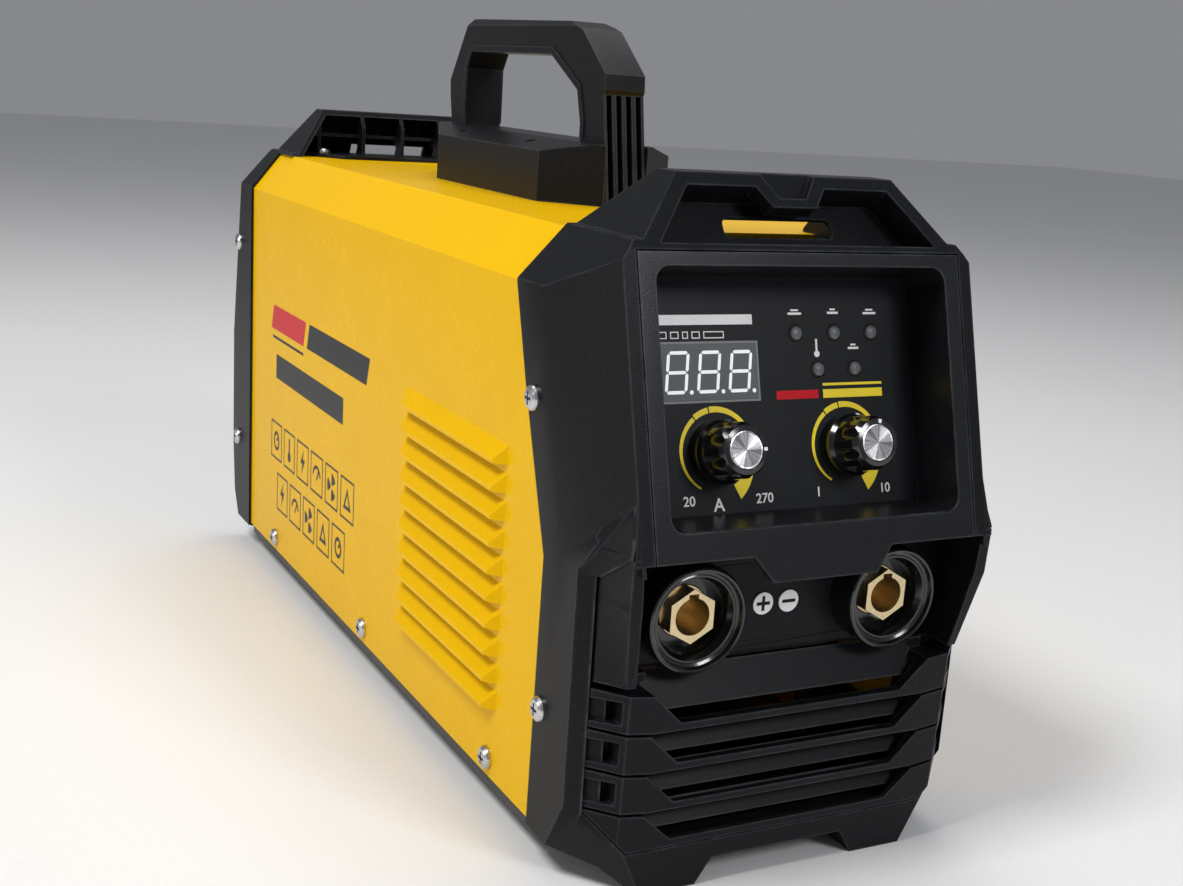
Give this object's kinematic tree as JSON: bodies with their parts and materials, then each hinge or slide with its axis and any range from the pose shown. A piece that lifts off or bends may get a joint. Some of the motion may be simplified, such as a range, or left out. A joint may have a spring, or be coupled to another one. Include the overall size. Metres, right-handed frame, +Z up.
{
  "type": "stick welding inverter",
  "caption": "Portable inverter welding power source: folded steel cover and tray between moulded end frames, carrying handle, control panel with knobs, output sockets, louvres and rear fan",
  "frame": {"origin": "on the ground at the middle of the length and width", "axes": "+Z up, +Y to the back along the length, +X to the right seen from the front"},
  "size_m": [0.165, 0.4745, 0.2916],
  "materials": {
    "yellow_paint": "gloss powder coat",
    "black_steel": "satin powder coat",
    "black_abs": "fine spark texture",
    "bezel_abs": "fine spark texture",
    "handle_abs": "fine spark texture",
    "panel_film": "printed matt film",
    "knob_black": "gloss",
    "socket_black": "semi gloss",
    "inlay_metal": "spun",
    "brass": "machined",
    "copper_bar": "rolled",
    "zinc_steel": "zinc plated",
    "led_lens": "diffuse lens",
    "display_face": "smoked lens",
    "disc_white": "pad printed",
    "circuit_board": "solder mask",
    "heatsink_alu": "extruded",
    "ferrite": "ferrite",
    "capacitor_sleeve": "shrink sleeve",
    "fan_plastic": "moulded",
    "switch_black": "gloss",
    "switch_red": "gloss",
    "gland_nylon": "nylon"
  },
  "bodies": {
    "case": {"base_tray": "black_steel", "top_cover": "yellow_paint", "front_shell": "black_abs", "control_bezel": "bezel_abs", "control_fascia": "panel_film", "display_module": "display_face", "indicator_leds": "led_lens", "current_pot_body": "zinc_steel", "current_pot_nut": "zinc_steel", "force_pot_body": "zinc_steel", "force_pot_nut": "zinc_steel", "control_pcb": "circuit_board", "control_pcb_spacers": "zinc_steel", "socket_panel": "black_abs", "positive_socket_housing": "socket_black", "positive_socket_contact": "brass", "positive_socket_nut": "socket_black", "negative_socket_housing": "socket_black", "negative_socket_contact": "brass", "negative_socket_nut": "socket_black", "polarity_discs": "disc_white", "output_busbars": "copper_bar", "intake_grille": "black_abs", "rear_shell": "black_abs", "fan_frame": "fan_plastic", "fan_guard": "zinc_steel", "fan_screws": "zinc_steel", "power_switch_housing": "switch_black", "cable_gland_body": "gland_nylon", "cable_gland_cap": "gland_nylon", "cable_gland_locknut": "gland_nylon", "earth_bolt": "brass", "handle_base": "handle_abs", "handle_grip": "handle_abs", "handle_bolts": "zinc_steel", "cover_side_screws": "zinc_steel", "front_flange_screws": "zinc_steel", "rear_flange_screws": "zinc_steel", "cover_top_screws": "zinc_steel", "power_pcb": "circuit_board", "pcb_standoffs": "zinc_steel", "heatsink_left": "heatsink_alu", "heatsink_right": "heatsink_alu", "igbt_modules": "capacitor_sleeve", "main_transformer": "ferrite", "output_choke": "ferrite", "bus_capacitors": "capacitor_sleeve", "rectifier_bridge": "capacitor_sleeve"},
    "current_control": {"current_knob": "knob_black", "current_knob_inlay": "inlay_metal", "current_pot_shaft": "zinc_steel"},
    "force_control": {"force_knob": "knob_black", "force_knob_inlay": "inlay_metal", "force_pot_shaft": "zinc_steel"},
    "fan": {"fan_rotor": "fan_plastic"},
    "rocker": {"power_switch_rocker": "switch_red"}
  },
  "joints": [
    {"name": "current_knob_turn", "type": "hinge", "parent": "case", "child": "current_control", "pos_m": [-0.0256, -0.22506, 0.15493], "axis": [0, -0.9608, 0.2771], "range_deg": [-60, 240]},
    {"name": "force_knob_turn", "type": "hinge", "parent": "case", "child": "force_control", "pos_m": [0.0275, -0.22506, 0.15493], "axis": [0, -0.9608, 0.2771], "range_deg": [-140, 160]},
    {"name": "fan_spin", "type": "hinge", "parent": "case", "child": "fan", "pos_m": [0, 0.2015, 0.084], "axis": [0, 1, 0], "continuous": true},
    {"name": "power_switch_rock", "type": "hinge", "parent": "case", "child": "rocker", "pos_m": [0.026, 0.2125, 0.172], "axis": [1, 0, 0], "range_deg": [-18, 0]}
  ]
}
